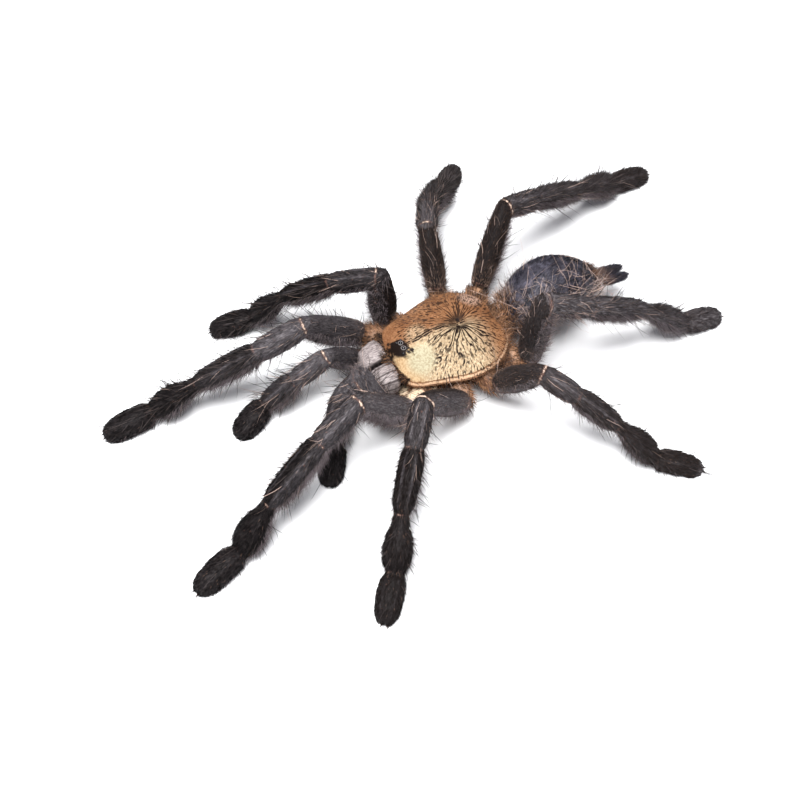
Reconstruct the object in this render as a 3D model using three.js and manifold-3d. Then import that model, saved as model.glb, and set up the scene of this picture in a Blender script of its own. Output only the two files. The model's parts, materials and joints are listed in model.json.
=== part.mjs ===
// A dried tarantula, set with its legs spread and standing on its own feet.
// Millimetres, +Z up. It faces -Y, so its own left side is +X. The surface it stands on is Z = 0.
import * as THREE from "three";
import { mergeVertices } from "three/addons/utils/BufferGeometryUtils.js";
import Module from "manifold-3d";

const wasm = await Module();
wasm.setup();

// Driving dimensions of the body.
const carapace = {
  width: 20.2,
  rimHeight: 9.75, // underside of the rim, above the surface
  rimThickness: 0.9,
  dome: 3.5, // rise of the shield above its rim
  headRise: 0.9, // the raised head wedge in front of the pit
  pit: { y: 2, depth: 0.8, radius: 1.2 },
  mound: { y: -9.9, height: 2, halfWidth: 1.9, halfLength: 1.3 }, // carries the eyes
};
const under = { length: 17, width: 11, bottom: 3.2, top: 9.2, y: -1 }; // breastplate between the hips
const belly = {
  start: 11.6, end: 33.4, halfWidth: 6.2, halfHeight: 5.9,
  heights: [[0, 9], [0.2, 11.2], [0.5, 12.2], [0.75, 11.6], [1, 9.9]], // of its middle line
  lean: 0.8, // bowed towards its own right
};
const waist = { start: 7.9, end: 10.9, radius: 1.3, height: 7.3 };
const spinneret = { width: 1.9, root: [1.1, 34, 9.3], tip: [1.1, 39.9, 8.2] };
const fang = { root: [2.4, -16.7, 3.9], length: 5.2, radius: 0.75, curl: 40 };
// One jaw, from under the front of the shield to its blunt end: y, height, half width, half depth.
const jawRings = [
  [-12.3, 9.9, 2.35, 2],
  [-13, 9.6, 2.7, 2.4],
  [-14.2, 9.1, 2.7, 2.9],
  [-15.6, 8.5, 2.35, 3.1],
  [-16.9, 7.8, 1.7, 2.5],
  [-17.6, 7.4, 1, 1.6],
];

const jointGap = 0.3; // clear space between two segments that meet
const sides = 10; // facets round a limb
const kneeReach = 2.2; // how far the outside of a sharp bend runs past the joint
const solePress = 1.1; // the pads of the feet are pressed flat from this height down

// One limb segment: width across, depth from top to underside, and its swell from root to end.
const segmentShapes = {
  coxa: { width: 4.6, depth: 4.9, swell: [[0, 0.9], [0.45, 1], [0.7, 0.84], [0.86, 0.98], [1, 0.8]] },
  femur: { width: 4.9, depth: 6.2, swell: [[0, 0.72], [0.12, 0.9], [0.42, 1], [0.8, 0.9], [1, 0.7]] },
  patella: { width: 4.6, depth: 4.9, swell: [[0, 0.8], [0.14, 0.96], [0.5, 1], [0.85, 0.98], [1, 0.8]] },
  tibia: { width: 4.6, depth: 4.8, swell: [[0, 0.86], [0.15, 1], [0.5, 1.02], [0.85, 0.92], [1, 0.66]] },
  metatarsus: {
    width: 5.4, depth: 4.6,
    swell: [[0, 0.54], [0.2, 0.66], [0.38, 0.92], [0.62, 1.04], [0.86, 0.94], [1, 0.6]],
  },
  tarsus: {
    width: 5.1, depth: 4.3,
    swell: [[0, 0.68], [0.12, 0.96], [0.45, 1.04], [0.76, 0.92], [0.93, 0.66], [1, 0.34]],
  },
};

// Segment lengths and thickness of each pair of limbs, from femur to foot.
const legSegments = ["femur", "patella", "tibia", "metatarsus", "tarsus"];
const palpSegments = ["femur", "patella", "tibia", "tarsus"];
const pairs = {
  palp: { segments: palpSegments, lengths: [11.6, 7.6, 8.6, 8.2], girth: [0.83, 0.92, 1, 1.05] },
  leg_1: { segments: legSegments, lengths: [16, 9.6, 13.6, 10.8, 10.3], girth: [1.06, 1.06, 1.06, 1.06, 1.06] },
  leg_2: { segments: legSegments, lengths: [13.8, 9.2, 11.6, 10.4, 9.3], girth: [1, 1, 1, 1, 1] },
  leg_3: { segments: legSegments, lengths: [13, 7.5, 9.6, 11, 9.2], girth: [0.95, 0.95, 0.95, 0.95, 0.95] },
  leg_4: { segments: legSegments, lengths: [16.4, 10.4, 14, 14.2, 9.3], girth: [0.97, 0.97, 0.97, 0.97, 0.97] },
};

// How each limb was set. root and hip are the two ends of its coxa, x outward from the middle line.
// turn is each segment's heading away from straight ahead, outward, and rise its slope, in degrees.
const setting = {
  palp_left: {
    root: [2.2, -6, 4.6], hip: [7.2, -16.2, 4.8],
    turn: [-44, -20, 51, 57], rise: [66, -57, -42, -15],
  },
  palp_right: {
    root: [2.2, -6, 4.8], hip: [6.8, -15.6, 4.9],
    turn: [-19, 6, 14, -20], rise: [47, -33, -45, -15],
  },
  leg_1_left: {
    root: [3.4, -4.6, 6.2], hip: [10.1, -12.9, 7.5],
    turn: [5, 18, 17, 17, 17], rise: [46, -15, -28, -43, -9],
  },
  leg_1_right: {
    root: [3.4, -4.6, 6.2], hip: [10.1, -13.1, 7.5],
    turn: [-4, 4, 15, 12, 0], rise: [41, -18, -29, -31, -9],
  },
  leg_2_left: {
    root: [3.6, -1.4, 6.2], hip: [12.1, -3, 6.7],
    turn: [14, 52, 50, 55, 51], rise: [44, -4, -33, -37, -12],
  },
  leg_2_right: {
    root: [3.6, -2.4, 6.2], hip: [11.4, -7.2, 7],
    turn: [-2, 35, 37, 37, 17], rise: [83, -19, -33, -49, -15],
  },
  leg_3_left: {
    root: [3.6, 1.4, 6.2], hip: [11.8, 4.3, 7.9],
    turn: [120, 129, 132, 135, 143], rise: [48, -23, -31, -41, -10],
  },
  leg_3_right: {
    root: [3.6, 1.4, 6.2], hip: [11.8, 4.3, 7.9],
    turn: [104, 119, 128, 132, 136], rise: [43, -15, -30, -43, -11],
  },
  leg_4_left: {
    root: [2.8, 4, 6.2], hip: [9.5, 12.2, 7.8],
    turn: [166, 170, 176, 175, 177], rise: [83, -27, -29, -42, -12],
  },
  leg_4_right: {
    root: [2.8, 4, 6.2], hip: [9.5, 12.2, 7.8],
    turn: [143, 163, 168, 163, 178], rise: [49, -25, -25, -30, -10],
  },
};

const finish = {
  shield: new THREE.MeshStandardMaterial({ color: 0xc99a5c, roughness: 0.6, metalness: 0 }),
  underside: new THREE.MeshStandardMaterial({ color: 0x6b4a33, roughness: 0.85, metalness: 0 }),
  fur: new THREE.MeshStandardMaterial({ color: 0x2c2724, roughness: 0.9, metalness: 0 }),
  velvet: new THREE.MeshStandardMaterial({ color: 0x2a2a33, roughness: 0.9, metalness: 0 }),
  jaw: new THREE.MeshStandardMaterial({ color: 0x8f8586, roughness: 0.75, metalness: 0 }),
  fang: new THREE.MeshStandardMaterial({ color: 0x140d0b, roughness: 0.25, metalness: 0 }),
};

const up = new THREE.Vector3(0, 0, 1);
const lerp = THREE.MathUtils.lerp;
const rad = THREE.MathUtils.degToRad;

// Value at t of a table of [t, value] rows, joined by straight lines.
function along(table, t) {
  const next = table.findIndex(([at]) => at >= t);
  if (next <= 0) return table[0][1];
  const [t0, v0] = table[next - 1];
  const [t1, v1] = table[next];
  return lerp(v0, v1, (t - t0) / (t1 - t0));
}

// Bell curve, 1 at 0 and almost 0 past two widths.
const bell = (distance, width) => Math.exp(-((distance / width) ** 2));

// Closed surface over rings of the same count, each turning right-handed about the way they advance.
function loft(rings) {
  const count = rings[0].length;
  const points = rings.flat();
  const middle = (ring) => ring.reduce((sum, p) => sum.add(p), new THREE.Vector3()).divideScalar(count);
  points.push(middle(rings[0]), middle(rings.at(-1)));
  const [first, last] = [points.length - 2, points.length - 1];
  const end = (rings.length - 1) * count;
  const faces = [];
  for (let j = 0; j < count; j += 1) {
    const k = (j + 1) % count;
    faces.push(first, k, j, last, end + j, end + k);
    for (let i = 0; i < end; i += count) {
      faces.push(i + j, i + k, i + count + k, i + j, i + count + k, i + count + j);
    }
  }
  const geometry = new THREE.BufferGeometry().setFromPoints(points);
  geometry.setIndex(faces);
  return geometry;
}

// Heading of a limb segment on its own side of the body, side being 1 for left and -1 for right.
function heading(turn, rise, side) {
  const level = Math.cos(rad(rise));
  return new THREE.Vector3(side * Math.sin(rad(turn)) * level, -Math.cos(rad(turn)) * level, Math.sin(rad(rise)));
}

// Segment from start to end. Each end is cut along the plane that it shares with its neighbour.
function segment(start, end, startCut, endCut, shape, girth, facets = sides) {
  const axis = end.clone().sub(start);
  const length = axis.length();
  axis.normalize();
  const across = new THREE.Vector3().crossVectors(up, axis).normalize();
  const top = new THREE.Vector3().crossVectors(axis, across);
  const inset = (cut) => jointGap / 2 / axis.dot(cut) / length;
  const [low, high] = [inset(startCut), 1 - inset(endCut)];
  const rings = shape.swell.map(([t]) => {
    const swell = along(shape.swell, t) * girth;
    const centre = start.clone().addScaledVector(axis, lerp(low, high, t) * length);
    return Array.from({ length: facets }, (_, j) => {
      const angle = (2 * Math.PI * (j + 0.5)) / facets;
      const out = across.clone().multiplyScalar((Math.cos(angle) * shape.width * swell) / 2);
      out.addScaledVector(top, (Math.sin(angle) * shape.depth * swell) / 2);
      const back = Math.max(-out.dot(startCut) / axis.dot(startCut), -kneeReach);
      const ahead = Math.min(-out.dot(endCut) / axis.dot(endCut), kneeReach);
      const slide = back * Math.max(0, 1 - 2 * t) + ahead * Math.max(0, 2 * t - 1);
      return centre.clone().add(out).addScaledVector(axis, slide);
    });
  });
  return loft(rings);
}

// Joint points and cutting planes of one limb, from the root of its coxa to the tip of its foot.
function limbPath(name) {
  const side = name.endsWith("left") ? 1 : -1;
  const pair = pairs[name.replace(/_(left|right)$/, "")];
  const { root, hip, turn, rise } = setting[name];
  const points = [root, hip].map(([x, y, z]) => new THREE.Vector3(side * x, y, z));
  pair.segments.forEach((_, i) => {
    points.push(points.at(-1).clone().addScaledVector(heading(turn[i], rise[i], side), pair.lengths[i]));
  });
  const axes = points.slice(1).map((p, i) => p.clone().sub(points[i]).normalize());
  const cuts = points.map((_, i) => {
    const [before, after] = [axes[i - 1] ?? axes[0], axes[i] ?? axes.at(-1)];
    return before.clone().add(after).normalize();
  });
  return { pair, points, cuts };
}

// The pad under a foot, pressed flat on the surface.
function pressSole(geometry) {
  const position = geometry.getAttribute("position");
  for (let i = 0; i < position.count; i += 1) {
    if (position.getZ(i) < solePress) position.setZ(i, 0);
  }
  return geometry;
}

function limbMeshes(name) {
  const { pair, points, cuts } = limbPath(name);
  return pair.segments.map((part, i) => {
    const shape = segmentShapes[part];
    const body = segment(points[i + 1], points[i + 2], cuts[i + 1], cuts[i + 2], shape, pair.girth[i]);
    return named(`${name}_${part}`, part === "tarsus" ? pressSole(body) : body, finish.fur);
  });
}

function named(name, geometry, material) {
  const mesh = new THREE.Mesh(geometry, material);
  mesh.name = name;
  return mesh;
}

// Solids for cutting and joining.
function toSolid(geometry) {
  const bare = geometry.clone();
  bare.deleteAttribute("normal");
  bare.deleteAttribute("uv");
  const merged = mergeVertices(bare, 1e-4);
  return new wasm.Manifold(
    new wasm.Mesh({
      numProp: 3,
      vertProperties: new Float32Array(merged.getAttribute("position").array),
      triVerts: new Uint32Array(merged.index.array),
    }),
  );
}

function toGeometry(solid) {
  const { vertProperties, triVerts } = solid.getMesh();
  const geometry = new THREE.BufferGeometry();
  geometry.setAttribute("position", new THREE.BufferAttribute(vertProperties, 3));
  geometry.setIndex(new THREE.BufferAttribute(triVerts, 1));
  return geometry;
}

// Outline of the shield seen from above, as a smooth closed curve through its left half and mirror.
function shieldOutline(count) {
  const half = carapace.width / 2;
  const left = [
    [0, -11.9], [0.42 * half, -12], [0.67 * half, -10.9], [0.84 * half, -5.8], [0.99 * half, 0.4],
    [0.95 * half, 5], [0.72 * half, 8.8], [0.4 * half, 10.7], [0, 10.3],
  ];
  const right = left.slice(1, -1).reverse().map(([x, y]) => [-x, y]);
  const curve = new THREE.CatmullRomCurve3(
    [...left, ...right].map(([x, y]) => new THREE.Vector3(x, y, 0)), true, "centripetal",
  );
  return curve.getSpacedPoints(count).slice(0, count);
}

// Height of the shield's upper face over its rim, at a share of the way out from the middle.
function shieldHeight(x, y, share) {
  const { dome, headRise, pit, mound } = carapace;
  const round = dome * (1 - share ** 2.6);
  const ahead = THREE.MathUtils.clamp((pit.y - y) / 9, 0, 1);
  const wedge = headRise * Math.sin(ahead * Math.PI * 0.8) * bell(x, 1.2 + 4.6 * ahead);
  const neck = 0.55 * bell(Math.abs(x) - (0.8 + 5.4 * ahead), 0.9) * Math.sin(Math.PI * ahead);
  const fromPit = Math.hypot(x, y - pit.y);
  const rays = 0.28 * Math.cos(12 * Math.atan2(x, y - pit.y)) * bell(fromPit - 4.5, 3);
  const hole = pit.depth * bell(fromPit, pit.radius);
  const eyes = mound.height * bell(x, mound.halfWidth) * bell(y - mound.y, mound.halfLength);
  return (round + wedge - neck + eyes - hole) + rays * (1 - share);
}

function shieldMesh() {
  const outline = shieldOutline(40);
  const shares = [1, 0.93, 0.82, 0.68, 0.52, 0.36, 0.2, 0.08];
  const heart = new THREE.Vector3(0, 0.6, 0);
  const base = carapace.rimHeight;
  const at = (p, share, z) => heart.clone().lerp(p, share).setZ(z);
  const rings = [
    outline.map((p) => at(p, 0.5, base)),
    outline.map((p) => at(p, 0.94, base)),
    ...shares.map((share) => outline.map((p) => {
      const q = at(p, share, 0);
      return q.setZ(base + carapace.rimThickness + shieldHeight(q.x, q.y, share));
    })),
  ];
  return named("carapace", loft(rings), finish.shield);
}

// Breastplate with the ten coxae grown round it.
function undersideMesh() {
  const plate = new THREE.SphereGeometry(1, 20, 10);
  const { length, width, bottom, top, y } = under;
  plate.rotateX(Math.PI / 2);
  plate.scale(width / 2, length / 2, (top - bottom) / 2);
  plate.translate(0, y, (top + bottom) / 2);
  let solid = toSolid(plate);
  for (const name of Object.keys(setting)) {
    const { pair, points, cuts } = limbPath(name);
    const inner = points[1].clone().sub(points[0]).normalize();
    const coxa = segment(points[0], points[1], inner, cuts[1], segmentShapes.coxa, pair.girth[0]);
    solid = solid.add(toSolid(coxa));
  }
  return named("sternum_and_coxae", toGeometry(solid), finish.underside);
}

// Abdomen: rings from the waist to the tail, rounder on top than below.
function bellyMesh() {
  const { start, end, halfWidth, halfHeight, heights, lean } = belly;
  const shares = [0.015, 0.06, 0.14, 0.26, 0.4, 0.55, 0.7, 0.83, 0.93, 0.985];
  const ring = (x, y, z, rx, rz) => Array.from({ length: 22 }, (_, j) => {
    const angle = (2 * Math.PI * j) / 22;
    return new THREE.Vector3(x - Math.cos(angle) * rx, y, z + Math.sin(angle) * rz);
  });
  const rings = shares.map((share) => {
    const swell = Math.sqrt(Math.sin(Math.PI * share ** 0.92));
    const x = -lean * Math.sin(Math.PI * share);
    return ring(x, lerp(start, end, share), along(heights, share), halfWidth * swell, halfHeight * swell);
  });
  const stalk = [waist.start, waist.end].map((y) => ring(0, y, waist.height, waist.radius, waist.radius));
  return named("abdomen", loft([...stalk, ...rings]), finish.velvet);
}

// One jaw, flat where it meets its pair and full on the outside.
function jawMesh(side, label) {
  const blunt = (value) => Math.sign(value) * Math.abs(value) ** 0.8;
  const rings = jawRings.map(([y, z, halfWidth, halfDepth]) => Array.from({ length: 14 }, (_, j) => {
    const angle = (2 * Math.PI * (j + 0.5)) / 14;
    const x = side * (halfWidth + jointGap / 2) + blunt(Math.cos(angle)) * halfWidth;
    return new THREE.Vector3(x, y, z + blunt(Math.sin(angle)) * halfDepth);
  }));
  return named(`chelicera_${label}`, loft(rings), finish.jaw);
}

// A fang folded back under its jaw: a tapering hook.
function fangMesh(side, label) {
  const [x, y, z] = fang.root;
  const steps = 6;
  const at = new THREE.Vector3(side * x, y, z);
  const rings = [];
  for (let i = 0; i <= steps; i += 1) {
    const slope = rad((fang.curl * i) / steps - fang.curl / 2);
    const top = new THREE.Vector3(0, -Math.sin(slope), Math.cos(slope));
    const radius = fang.radius * (1 - 0.85 * (i / steps) ** 1.5);
    rings.push(Array.from({ length: 8 }, (_, j) => {
      const angle = (2 * Math.PI * j) / 8;
      const rim = new THREE.Vector3(-Math.cos(angle) * radius, 0, 0).addScaledVector(top, Math.sin(angle) * radius);
      return rim.add(at);
    }));
    at.add(new THREE.Vector3(0, Math.cos(slope), Math.sin(slope)).multiplyScalar(fang.length / steps));
  }
  return named(`fang_${label}`, loft(rings), finish.fang);
}

function spinneretMesh(side, label) {
  const [start, end] = [spinneret.root, spinneret.tip].map(([x, y, z]) => new THREE.Vector3(side * x, y, z));
  const axis = end.clone().sub(start).normalize();
  const shape = {
    width: spinneret.width, depth: spinneret.width,
    swell: [[0, 0.9], [0.3, 1.05], [0.42, 0.9], [0.5, 1], [0.8, 0.88], [0.94, 0.62], [1, 0.3]],
  };
  return named(`spinneret_${label}`, segment(start, end, axis, axis, shape, 1, 8), finish.fur);
}

const spider = new THREE.Group();
spider.add(shieldMesh(), undersideMesh(), bellyMesh());
for (const [side, label] of [[1, "left"], [-1, "right"]]) {
  spider.add(jawMesh(side, label), fangMesh(side, label), spinneretMesh(side, label));
}
for (const name of Object.keys(setting)) spider.add(...limbMeshes(name));

// The origin is the middle of the footprint, on the surface.
const bounds = new THREE.Box3().setFromObject(spider);
const middle = bounds.getCenter(new THREE.Vector3());
spider.position.set(-middle.x, -middle.y, -bounds.min.z);

const part = new THREE.Group();
part.add(spider);
export default part;
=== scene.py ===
import json
import math

import bpy
import numpy as np
from mathutils import Matrix, Vector

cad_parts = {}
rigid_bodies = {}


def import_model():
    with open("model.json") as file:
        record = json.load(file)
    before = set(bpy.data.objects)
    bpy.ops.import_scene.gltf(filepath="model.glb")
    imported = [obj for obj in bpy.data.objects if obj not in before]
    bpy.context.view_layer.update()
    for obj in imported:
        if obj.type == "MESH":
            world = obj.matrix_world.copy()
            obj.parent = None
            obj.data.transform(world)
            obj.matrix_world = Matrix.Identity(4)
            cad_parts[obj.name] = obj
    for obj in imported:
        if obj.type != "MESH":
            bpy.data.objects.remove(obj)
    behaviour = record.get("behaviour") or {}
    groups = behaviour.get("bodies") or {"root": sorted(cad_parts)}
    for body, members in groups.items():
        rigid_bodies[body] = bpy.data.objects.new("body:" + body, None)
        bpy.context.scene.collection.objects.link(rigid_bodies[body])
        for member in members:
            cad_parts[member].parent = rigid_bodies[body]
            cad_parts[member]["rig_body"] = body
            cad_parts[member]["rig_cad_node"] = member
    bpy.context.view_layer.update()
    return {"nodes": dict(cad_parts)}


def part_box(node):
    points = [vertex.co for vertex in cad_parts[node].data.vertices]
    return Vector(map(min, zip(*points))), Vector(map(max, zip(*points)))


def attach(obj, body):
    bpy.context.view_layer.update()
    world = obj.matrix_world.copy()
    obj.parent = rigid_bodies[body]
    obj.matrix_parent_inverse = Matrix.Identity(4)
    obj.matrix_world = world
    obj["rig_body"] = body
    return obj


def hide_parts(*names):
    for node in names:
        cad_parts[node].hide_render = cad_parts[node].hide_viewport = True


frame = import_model()
dice = np.random.default_rng(41)
mm = 0.001

legParts = ["femur", "patella", "tibia", "metatarsus", "tarsus"]
palpParts = ["femur", "patella", "tibia", "tarsus"]
bothSides = ("left", "right")
limbNames = [f"leg_{pair}_{side}" for pair in (1, 2, 3, 4) for side in bothSides]
limbNames += [f"palp_{side}" for side in bothSides]


# small helpers

def selectOnly(*pieces):
    bpy.ops.object.select_all(action="DESELECT")
    for piece in pieces:
        piece.select_set(True)
    bpy.context.view_layer.objects.active = pieces[0]


def applyModifier(piece, kind, **values):
    modifier = piece.modifiers.new(kind.lower(), kind)
    for key, value in values.items():
        setattr(modifier, key, value)
    selectOnly(piece)
    bpy.ops.object.modifier_apply(modifier=modifier.name)


def copyOfNode(node, name):
    # a merged, quad copy of a solid from the frame, to shape further
    selectOnly(frame["nodes"][node])
    bpy.ops.object.duplicate()
    piece = bpy.context.active_object
    piece.name = name
    piece.data.name = name
    piece.parent = None
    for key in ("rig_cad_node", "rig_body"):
        if key in piece:
            del piece[key]
    bpy.ops.object.mode_set(mode="EDIT")
    bpy.ops.mesh.select_all(action="SELECT")
    bpy.ops.mesh.remove_doubles(threshold=0.002 * mm)
    bpy.ops.mesh.tris_convert_to_quads()
    bpy.ops.object.mode_set(mode="OBJECT")
    return piece


def dress(piece, material, slot, *nodes):
    piece.data.materials.clear()
    piece.data.materials.append(material)
    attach(piece, "root")
    if nodes:
        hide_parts(*nodes)
    return piece


def smoothShade(piece):
    selectOnly(piece)
    bpy.ops.object.shade_smooth()


def joinPieces(pieces, name):
    selectOnly(*pieces)
    bpy.ops.object.join()
    joined = bpy.context.active_object
    joined.name = name
    joined.data.name = name
    bpy.ops.object.transform_apply()
    return joined


def unit(v):
    length = np.linalg.norm(v, axis=-1, keepdims=True)
    return v / np.maximum(length, 1e-12)


def rowsOf(items, field, kind=float):
    # three numbers of each vertex, normal or triangle, as rows
    values = np.empty(len(items) * 3, kind)
    items.foreach_get(field, values)
    return values.reshape(-1, 3)


def vertexPoints(piece):
    return rowsOf(piece.data.vertices, "co")


def vertexNormals(piece):
    return rowsOf(piece.data.vertex_normals, "vector")


def nodePoints(node):
    points = rowsOf(frame["nodes"][node].data.vertices, "co", np.float32)
    return np.unique(points.round(6), axis=0)


def surfaceOf(piece):
    # triangles of a finished piece: corner points, corner normals, and twice each area
    piece.data.calc_loop_triangles()
    corners = rowsOf(piece.data.loop_triangles, "vertices", np.int32)
    points = vertexPoints(piece)[corners]
    edges = np.cross(points[:, 1] - points[:, 0], points[:, 2] - points[:, 0])
    return points, vertexNormals(piece)[corners], np.linalg.norm(edges, axis=1)


def squareMm(piece):
    return surfaceOf(piece)[2].sum() / 2 / mm**2


def scatter(piece, count):
    # random points with normals, spread evenly over a piece
    points, normals, area = surfaceOf(piece)
    picked = dice.choice(len(area), int(count), p=area / area.sum())
    a, b = dice.random((2, int(count), 1))
    flip = (a + b) > 1
    a, b = np.where(flip, 1 - a, a), np.where(flip, 1 - b, b)
    weights = np.stack([1 - a - b, a, b], 1)
    return (points[picked] * weights).sum(1), unit((normals[picked] * weights).sum(1))


def setMark(mesh, name, values):
    kind, field = ("FLOAT_VECTOR", "vector") if values.ndim == 2 else ("FLOAT", "value")
    attribute = mesh.attributes.new(name, kind, "POINT")
    attribute.data.foreach_set(field, values.astype(np.float32).reshape(-1))


def lengths(spec, count):
    return dice.uniform(*spec["length"], count) * mm


# hairs, as one mesh of thin three-sided spikes

hairForm = {"sides": 3, "taper": 0.6, "lowest": 0.02 * mm}


def lock(roots, ways, length, width, bend=(0, 0, 0), tone=None, grey=0.0, tan=0.0):
    tone = dice.random(len(roots)) if tone is None else tone
    return {"roots": roots, "ways": ways, "length": length, "width": width, "bend": bend,
            "tone": tone, "grey": grey, "tan": tan}


def growHairs(name, locks, material, slot, steps=1):
    # every lock holds roots, ways, length, width, bend and the marks tone, grey and tan
    sides = hairForm["sides"]

    def column(key, width=1):
        # a row for each hair, where a lock holds one for each or one for all
        parts = []
        for part in locks:
            rows = np.asarray(part[key], float).reshape(-1, width)
            parts.append(np.broadcast_to(rows, (len(part["roots"]), width)))
        return np.concatenate(parts)

    roots, bends, ways = column("roots", 3), column("bend", 3), unit(column("ways", 3))
    length, thickness = column("length"), column("width")
    count = len(roots)
    side = unit(np.cross(ways, dice.normal(size=ways.shape)))
    other = np.cross(ways, side)
    rows = []
    for step in range(steps):  # rings from the root up, then the tip
        share = step / steps
        middle = roots + length * (ways * share + bends * share**2)
        for corner in range(sides):
            turn = 2 * math.pi * corner / sides
            out = side * math.cos(turn) + other * math.sin(turn)
            rows.append(middle + out * thickness / 2 * (1 - hairForm["taper"] * share))
    rows.append(roots + length * (ways + bends))
    points = np.stack(rows, 1)
    points[:, :, 2] = np.maximum(points[:, :, 2], hairForm["lowest"])
    each = points.shape[1]
    around = [(corner, (corner + 1) % sides) for corner in range(sides)]
    faces = []
    for first in range(0, (steps - 1) * sides, sides):
        for a, b in around:
            a, b = first + a, first + b
            faces += [[a, b, b + sides], [a, b + sides, a + sides]]
    last = (steps - 1) * sides
    faces += [[last + a, last + b, each - 1] for a, b in around]
    corners = (np.array(faces)[None] + np.arange(count)[:, None, None] * each).reshape(-1)
    mesh = bpy.data.meshes.new(name)
    mesh.vertices.add(count * each)
    mesh.vertices.foreach_set("co", points.reshape(-1))
    mesh.loops.add(len(corners))
    mesh.loops.foreach_set("vertex_index", corners.astype(np.int32))
    mesh.polygons.add(len(corners) // 3)
    mesh.polygons.foreach_set("loop_start", np.arange(0, len(corners), 3, dtype=np.int32))
    mesh.polygons.foreach_set("use_smooth", np.ones(len(corners) // 3, bool))
    mesh.update(calc_edges=True)
    tips = np.array([row // sides / steps for row in range(each - 1)] + [1.0])
    setMark(mesh, "tip", np.tile(tips, count))
    for key in ("tone", "grey", "tan"):
        setMark(mesh, key, np.repeat(column(key), each))
    piece = bpy.data.objects.new(name, mesh)
    bpy.context.scene.collection.objects.link(piece)
    return dress(piece, material, slot)


# materials

class Value:
    # a node's output that takes part in sums: each sum adds a maths node to its tree
    def __init__(self, socket):
        self.socket, self.tree = socket, socket.id_data

    __add__ = lambda self, other: maths("ADD", self, other)
    __sub__ = lambda self, other: maths("SUBTRACT", self, other)
    __rsub__ = lambda self, other: maths("SUBTRACT", other, self)
    __mul__ = lambda self, other: maths("MULTIPLY", self, other)
    __truediv__ = lambda self, other: maths("DIVIDE", self, other)
    __abs__ = lambda self: maths("ABSOLUTE", self)


def feed(socket, value):
    # a number, a colour or another node's output goes into a socket
    if isinstance(value, Value):
        value.tree.links.new(value.socket, socket)
    elif socket.type == "RGBA":
        socket.default_value = (*value, 1)
    else:
        socket.default_value = value


def newNode(tree, kind, *inputs, named=None, **settings):
    # inputs are fed in their own order, and the named ones by their names
    made = tree.nodes.new("ShaderNode" + kind)
    for key, value in settings.items():
        setattr(made, key, value)
    for socket, value in zip(made.inputs, inputs):
        feed(socket, value)
    for key, value in (named or {}).items():
        feed(made.inputs[key], value)
    return made


def outOf(made, name=0):
    return Value(made.outputs[name])


def treeOf(values):
    return next(value.tree for value in values if isinstance(value, Value))


def maths(operation, *values):
    return outOf(newNode(treeOf(values), "Math", *values, operation=operation))


def highest(*values):
    result = values[0]
    for value in values[1:]:
        result = maths("MAXIMUM", result, value)
    return result


def distance(x, y):
    return maths("SQRT", x * x + y * y)


def mix(share, first, second, blend="MIX"):
    values = (share, first, second)
    made = newNode(treeOf(values), "Mix", data_type="RGBA", blend_type=blend)
    for index, value in zip((0, 6, 7), values):
        feed(made.inputs[index], value)
    return outOf(made, 2)


def ramp(value, low, high, smooth=True):
    kind = "SMOOTHSTEP" if smooth else "LINEAR"
    return outOf(newNode(value.tree, "MapRange", value, low, high, interpolation_type=kind))


def noise(place, scale, detail=3.0, roughness=0.6, **settings):
    named = {"Vector": place, "Scale": scale, "Detail": detail, "Roughness": roughness}
    return outOf(newNode(place.tree, "TexNoise", named=named, **settings))


def objectPlace(tree):
    return outOf(newNode(tree, "TexCoord"), "Object")


def axesOf(place):
    return [Value(socket) for socket in newNode(place.tree, "SeparateXYZ", place).outputs]


def placeAt(x, y, z=0.0):
    return outOf(newNode(x.tree, "CombineXYZ", x, y, z))


def mark(tree, name, output="Fac"):
    return outOf(newNode(tree, "Attribute", attribute_name=name), output)


def newMaterial(name):
    material = bpy.data.materials.new(name)
    material.use_nodes = True
    tree = material.node_tree
    return material, tree, tree.nodes["Principled BSDF"]


def paint(surface, colour, rough, shine=0.5):
    for key, value in (("Base Color", colour), ("Roughness", rough), ("Specular IOR Level", shine)):
        feed(surface.inputs[key], value)


def addBump(surface, height, strength, depth, **named):
    named = {"Strength": strength, "Distance": depth, "Height": height, **named}
    bump = newNode(height.tree, "Bump", named=named)
    feed(surface.inputs["Normal"], outOf(bump))
    return bump


def newGroup(name, inputs, output, kind):
    # a shared effect: its tree, its inputs by name, and the socket for its result
    tree = bpy.data.node_groups.new(name, "ShaderNodeTree")
    for key, socket in inputs.items():
        tree.interface.new_socket(key, in_out="INPUT", socket_type=f"NodeSocket{socket}")
    tree.interface.new_socket(output, in_out="OUTPUT", socket_type=f"NodeSocket{kind}")
    source, sink = tree.nodes.new("NodeGroupInput"), tree.nodes.new("NodeGroupOutput")
    return tree, {key: outOf(source, key) for key in inputs}, sink.inputs[output]


def makeFurGroup():
    # colour of one hair: three pelt colours by its marks, darker at the root, uneven along the body
    inputs = {"Dark": "Color", "Grey": "Color", "Tan": "Color", "Patch Scale": "Float"}
    tree, given, result = newGroup("hairColour", inputs, "Color", "Color")
    tone, tip, grey, tan = (mark(tree, name) for name in ("tone", "tip", "grey", "tan"))
    patch = ramp(noise(objectPlace(tree), given["Patch Scale"], 2.0, 0.5), 0.35, 0.7)
    colour = mix(grey * (patch * 0.5 + 0.6), given["Dark"], given["Grey"])
    colour = mix(tan, colour, given["Tan"])
    strength = (maths("POWER", tone, 2.0) * 1.8 + 0.4) * (tip * 0.5 + 0.6)
    light = newNode(tree, "CombineColor", strength, strength, strength)
    feed(result, mix(1.0, colour, outOf(light), "MULTIPLY"))
    return tree


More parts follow.
